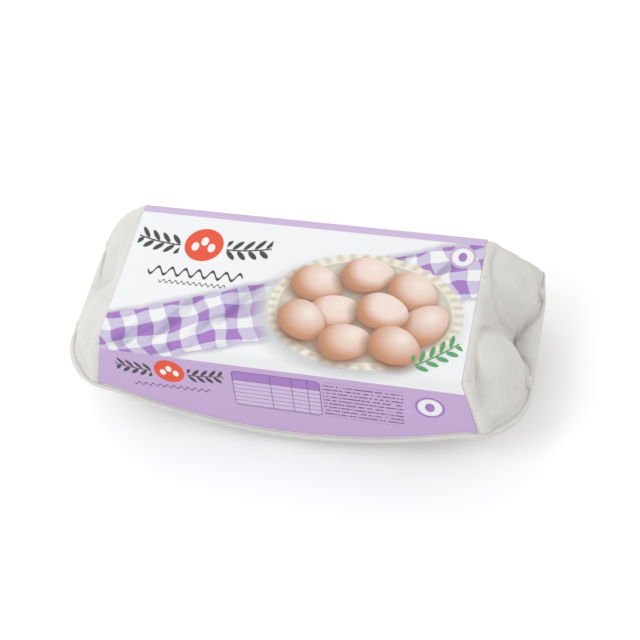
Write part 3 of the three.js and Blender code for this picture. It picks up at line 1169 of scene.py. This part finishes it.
def wave_print(art, inks, x, y, half_length, reach, pitch, half_width):
    """Dark wavy line"""
    u, v = art.split(art.local(x, y, WAVE_TURN))
    swing = art.math("SINE", art.math("MULTIPLY", u, 2 * math.pi / pitch))
    line = art.outline(art.math("MULTIPLY_ADD", swing, -reach, v), half_width)
    art.fill(art.both(line, art.outline(u, half_length)), inks.slate)


def badge_print(art, inks, x, y, radius, ring_colour):
    """Plain ring round a small egg"""
    art.fill(art.ellipse(x, y, radius, radius), inks.paper)
    ring = art.ellipse(x, y, radius * 0.90, radius * 0.90)
    art.fill(art.outline(ring, radius * 0.10), ring_colour)
    art.fill(art.ellipse(x, y, radius * 0.32, radius * 0.42), inks.violet)


def table_print(art, inks):
    """Empty ruled table with round corners and a dark heading row"""
    x, y, half_x, half_y = TABLE
    heading_y = y + half_y - TABLE_HEADING
    edge = art.panel(x, y, half_x, half_y, TABLE_CORNER)
    art.fill(edge, shade(inks.lilac, 1.06))
    heading = art.both(edge, art.math("SUBTRACT", heading_y, art.y))
    art.fill(heading, inks.violet)
    rows = art.math("SUBTRACT", art.y, heading_y)
    rows = art.math("ABSOLUTE", art.math("WRAP", rows, TABLE_HALF_PITCH, -TABLE_HALF_PITCH))
    under = art.math("SUBTRACT", art.y, heading_y + 0.3)
    rows = art.both(art.math("SUBTRACT", rows, RULE), under)
    art.fill(art.both(rows, edge), inks.purple, 0.1)
    for column in TABLE_COLUMNS:
        rule = art.outline(art.math("SUBTRACT", art.x, x + half_x * column), RULE)
        art.fill(art.both(rule, edge), inks.purple, 0.1)
    art.fill(art.outline(edge, 0.2), inks.purple, 0.1)


def line_print(art, inks):
    """Broken fine lines, as a texture without any lettering"""
    x, y, half_x, half_y = FINE_LINES
    edge = art.panel(x, y, half_x, half_y, 0.2)
    u, v = art.split(art.local(x, y))
    half_pitch = LINE_PITCH / 2
    rows = art.math("ABSOLUTE", art.math("WRAP", v, half_pitch, -half_pitch))
    row = art.math("FLOOR", art.math("DIVIDE", art.math("ADD", v, half_pitch), LINE_PITCH))
    breaks = art.noise(0.9, 1, art.joined(u, art.math("MULTIPLY", row, 7.3)))
    gaps = art.math("MULTIPLY_ADD", breaks, -4.0, 1.8)
    line = art.both(art.math("SUBTRACT", rows, LINE_WIDTH / 2), gaps)
    art.fill(art.both(line, edge), inks.purple, 0.12)


def print_colour(tree, inks):
    art = Print(tree, inks.paper)
    runner_print(art, inks)
    dish_print(art, inks)
    for egg in EGGS:
        egg_print(art, inks, *egg)
    band_print(art, inks)
    for emblem in EMBLEMS:
        emblem_print(art, inks, *emblem)
    for wave in WAVES:
        wave_print(art, inks, *wave)
    badge_print(art, inks, *BACK_BADGE, shade(inks.lilac, 0.92))
    badge_print(art, inks, *FRONT_BADGE, inks.violet)
    table_print(art, inks)
    line_print(art, inks)
    branch_print(art, *SPRIG, inks.leaf, SPRIG_BOW)
    return art.colour


def paper_material(name, inks):
    """Coated paper with its print, a soft sheen and a faint grain"""
    material, tree, shader = new_material(name)
    place = tree.nodes.new("ShaderNodeTexCoord").outputs["Object"]
    tree.links.new(print_colour(tree, inks), shader.inputs["Base Color"])
    set_surface(shader, roughness=0.48, specular=0.35)
    grain = add_noise(tree, place, *PAPER_GRAIN)
    grain = add_bump(tree, grain, strength=0.05, distance=0.0002)
    tree.links.new(grain, shader.inputs["Normal"])
    return material


class CARTON_OT_lid(bpy.types.Operator):
    """Models the lid with its round ends, curved closing edge, flange and lugs"""

    bl_idname = "carton.lid"
    bl_label = "Lid"

    def execute(self, context):
        shape = Shape()
        material = pulp_material("lid_pulp", colours().pulp)
        finish_piece(lid_mesh(shape), "lid_shell", material, ("lid",))
        finish_piece(lug_mesh(shape), "lid_lugs", material)
        return {"FINISHED"}


class CARTON_OT_tray(bpy.types.Operator):
    """Models the tray with its ten cups and its flange"""

    bl_idname = "carton.tray"
    bl_label = "Tray"

    def execute(self, context):
        shape = Shape()
        # The tray's pulp is 2% lighter than the lid's: painted light that lifts its lip, which faces
        # the shaded floor
        material = pulp_material("tray_pulp", shade(colours().pulp, 1.02))
        rim = ring_mesh([tray_rim_section(shape, foot) for foot in shape.rim_outline()])
        finish_piece(rim, "tray_rim", material, ("tray",))
        body = finish_piece(tray_body_mesh(shape), "tray_cups", material)
        remesh = body.modifiers.new("Fuse", "REMESH")
        remesh.mode = "VOXEL"
        remesh.voxel_size = FUSE_SIZE
        remesh.use_smooth_shade = True
        soften = body.modifiers.new("Soften", "SMOOTH")
        soften.factor = SOFTEN_SHARE
        soften.iterations = SOFTEN_TIMES
        return {"FINISHED"}


class CARTON_OT_label(bpy.types.Operator):
    """Models the folded paper label with its print"""

    bl_idname = "carton.label"
    bl_label = "Label"

    def execute(self, context):
        shape = Shape()
        material = paper_material("label_paper", colours())
        piece = finish_piece(label_mesh(shape), "label_sheet", material, ("label",))
        solid = piece.modifiers.new("Thickness", "SOLIDIFY")
        solid.thickness = sizes().label_thickness
        solid.offset = -1
        return {"FINISHED"}


# Camera, in the photograph's framing
CAMERA_AZIMUTH = math.radians(22.3719)
CAMERA_ELEVATION = math.radians(56.1049)
CAMERA_ROLL = math.radians(-12.1109)
CAMERA_OFFSET = Vector((0.0139694, -0.0175126, 0.6870539))
CAMERA_LENS = 72.40
SENSOR = 36.0

FLOOR_HALF = 6.0
FLOOR_WHITE = 0.97
SKY_STRENGTH = 0.95

# Place, power and colour of the soft lights
LIGHTS = {
    "key": ((-0.9, -0.6, 1.3), 6.0, (0.84, 0.94, 1.0)),
    "back": ((-0.5, 0.9, 1.3), 2.6, (0.90, 0.96, 1.0)),
}
LIGHT_SIZE = 0.9


def place_camera(target):
    turn = Matrix.Rotation(CAMERA_AZIMUTH, 4, "Z")
    turn @= Matrix.Rotation(math.pi / 2 - CAMERA_ELEVATION, 4, "X")
    turn @= Matrix.Rotation(CAMERA_ROLL, 4, "Z")
    data = bpy.data.cameras.new("camera")
    data.lens = CAMERA_LENS
    data.sensor_width = SENSOR
    camera = add_object("camera", data)
    camera.matrix_world = Matrix.Translation(target) @ turn @ Matrix.Translation(CAMERA_OFFSET)
    bpy.context.scene.camera = camera


def add_light(name, at, power, colour):
    data = bpy.data.lights.new(name, "AREA")
    data.color = colour
    data.shape = "DISK"
    data.size = LIGHT_SIZE
    data.energy = power
    light = add_object(name, data)
    away = Vector(at) - Vector((0, 0, HEIGHT / 2))
    turn = away.to_track_quat("Z", "Y").to_matrix().to_4x4()
    light.matrix_world = Matrix.Translation(at) @ turn


class CARTON_OT_stage(bpy.types.Operator):
    """Adds a plain pale floor, soft studio light and the camera"""

    bl_idname = "carton.stage"
    bl_label = "Stage"

    def execute(self, context):
        scene = context.scene
        scene.view_settings.view_transform = "Standard"
        mesh = bmesh.new()
        bmesh.ops.create_grid(mesh, x_segments=1, y_segments=1, size=FLOOR_HALF)
        data = bpy.data.meshes.new("floor")
        mesh.to_mesh(data)
        mesh.free()
        floor = add_object("floor", data)
        material, _, shader = new_material("floor_white")
        shader.inputs["Base Color"].default_value = (*shade(WHITE, FLOOR_WHITE), 1)
        set_surface(shader, roughness=0.9, specular=0.1)
        data.materials.append(material)
        world = bpy.data.worlds.new("studio")
        scene.world = world
        world.use_nodes = True
        background = world.node_tree.nodes["Background"]
        background.inputs["Color"].default_value = (*WHITE, 1)
        background.inputs["Strength"].default_value = SKY_STRENGTH
        for name, light in LIGHTS.items():
            add_light(name, *light)
        place_camera(Vector((0, Shape().centre_y * MM, HEIGHT)))
        return {"FINISHED"}


class CARTON_PT_panel(bpy.types.Panel):
    """Sizes, colours and pieces of the carton"""

    bl_idname = "CARTON_PT_panel"
    bl_label = "Egg Carton"
    bl_space_type = "VIEW_3D"
    bl_region_type = "UI"
    bl_category = "Carton"

    def draw(self, context):
        for owner, names in ((sizes(), (*LENGTHS, *SLOPES)), (colours(), INKS)):
            column = self.layout.column(align=True)
            for name in names:
                column.prop(owner, name)
        column = self.layout.column(align=True)
        for operator in PIECES:
            column.operator(operator.bl_idname)


PIECES = (CARTON_OT_lid, CARTON_OT_tray, CARTON_OT_label, CARTON_OT_stage)
CLASSES = (CartonSizes, CartonColours, *PIECES, CARTON_PT_panel)


def register():
    for entry in CLASSES:
        bpy.utils.register_class(entry)
    bpy.types.Scene.carton_sizes = PointerProperty(type=CartonSizes)
    bpy.types.Scene.carton_colours = PointerProperty(type=CartonColours)


def unregister():
    del bpy.types.Scene.carton_colours
    del bpy.types.Scene.carton_sizes
    for entry in reversed(CLASSES):
        bpy.utils.unregister_class(entry)


def main():
    register()
    bpy.ops.carton.lid()
    bpy.ops.carton.tray()
    bpy.ops.carton.label()
    bpy.ops.carton.stage()


if __name__ == "__main__":
    main()
